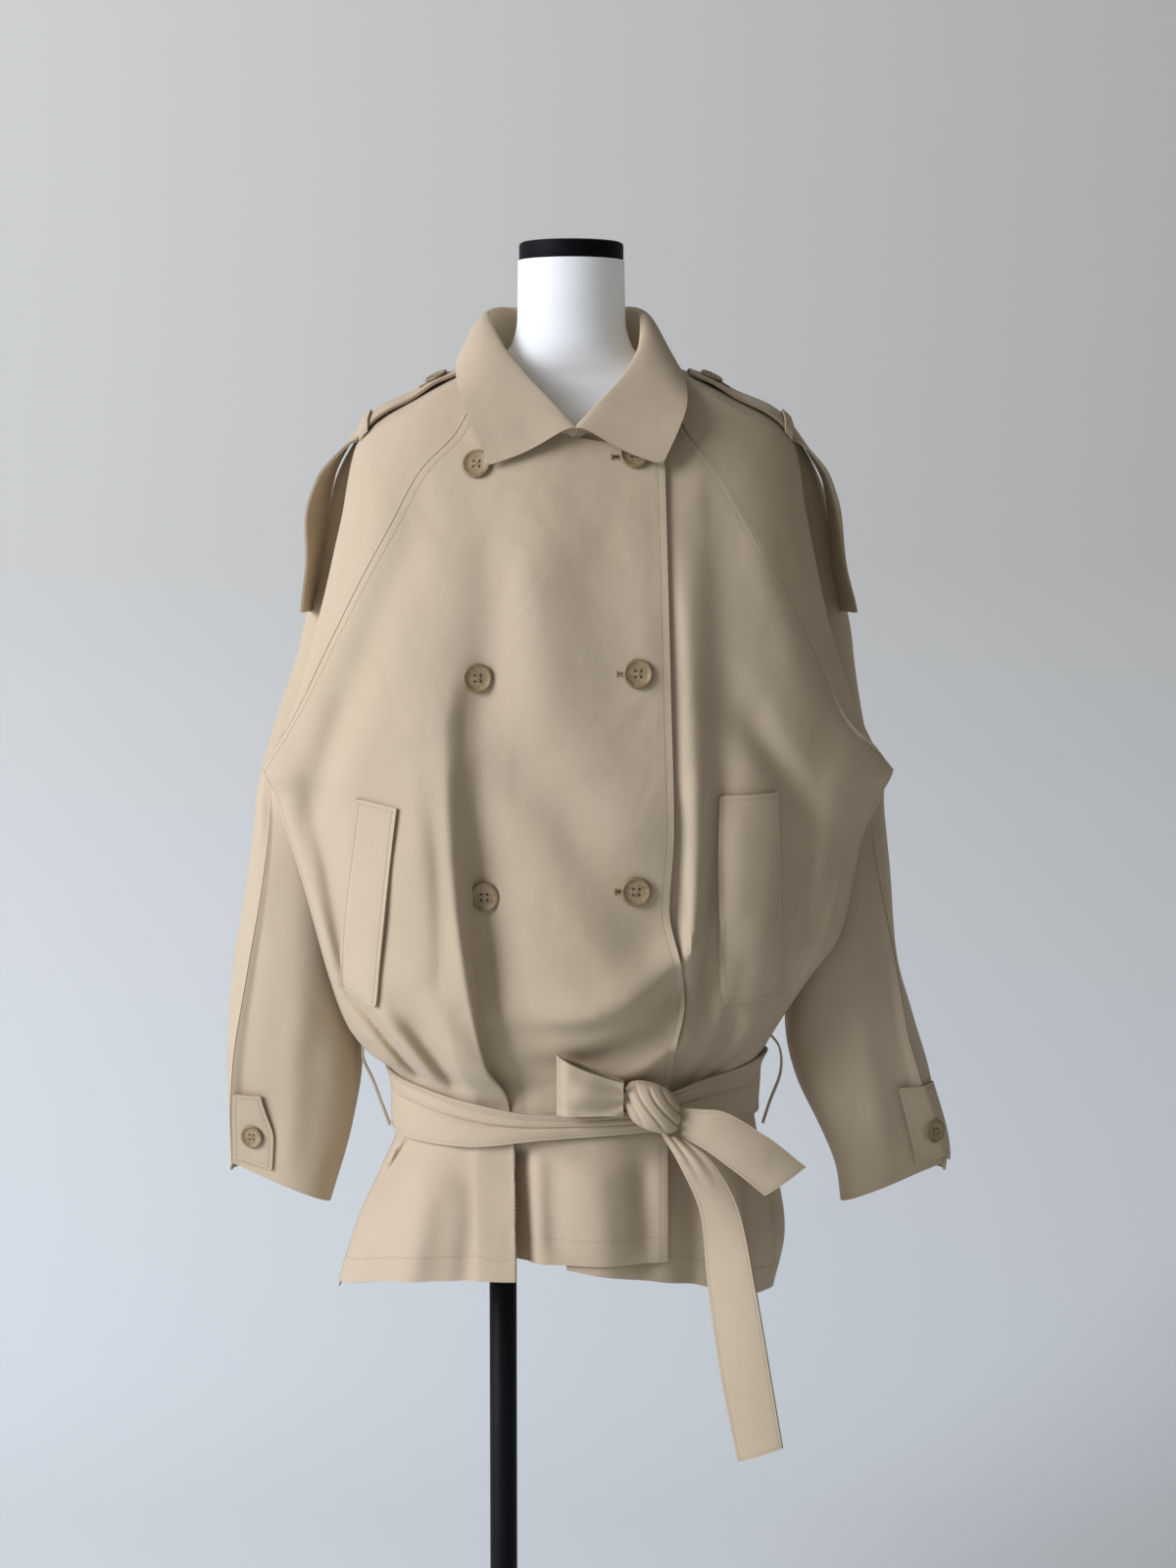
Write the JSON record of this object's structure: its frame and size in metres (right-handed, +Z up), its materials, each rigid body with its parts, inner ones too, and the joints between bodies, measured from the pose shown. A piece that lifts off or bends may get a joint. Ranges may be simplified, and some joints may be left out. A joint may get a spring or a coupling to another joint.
{
  "type": "trench coat on a dress form",
  "caption": "Short belted double-breasted trench coat with raglan sleeves and shoulder straps, worn by a limbless white dress form on a black pole and round base.",
  "frame": {"origin": "centre of the underside of the stand's round base plate", "axes": "+Z up, front of the coat towards -Y, +X towards the wearer's left"},
  "size_m": [0.7146, 0.34, 1.5],
  "materials": {
    "gabardine": "matt twill, sand beige",
    "horn": "satin marbled brown",
    "white_shell": "matt white",
    "black_plastic": "gloss black",
    "black_steel": "satin black"
  },
  "bodies": {
    "root": {"front_right": "gabardine", "front_left": "gabardine", "back_left": "gabardine", "back_right": "gabardine", "sleeve_right_front": "gabardine", "sleeve_right_back": "gabardine", "sleeve_left_front": "gabardine", "sleeve_left_back": "gabardine", "collar": "gabardine", "welt_right": "gabardine", "welt_left": "gabardine", "belt_band": "gabardine", "belt_end_short": "gabardine", "belt_end_long": "gabardine", "belt_loop": "gabardine", "belt_knot": "gabardine", "carrier_right": "gabardine", "carrier_left": "gabardine", "shoulder_strap_right": "gabardine", "shoulder_strap_left": "gabardine", "strap_loop_right": "gabardine", "strap_loop_left": "gabardine", "cuff_tab_right": "gabardine", "cuff_tab_left": "gabardine", "button_top_right": "horn", "button_middle_right": "horn", "button_low_right": "horn", "button_top_left": "horn", "button_middle_left": "horn", "button_low_left": "horn", "button_strap_right": "horn", "button_strap_left": "horn", "button_cuff_right": "horn", "button_cuff_left": "horn", "form_torso": "white_shell", "form_cap": "black_plastic", "stand_pole": "black_steel", "stand_base": "black_steel"}
  },
  "joints": []
}
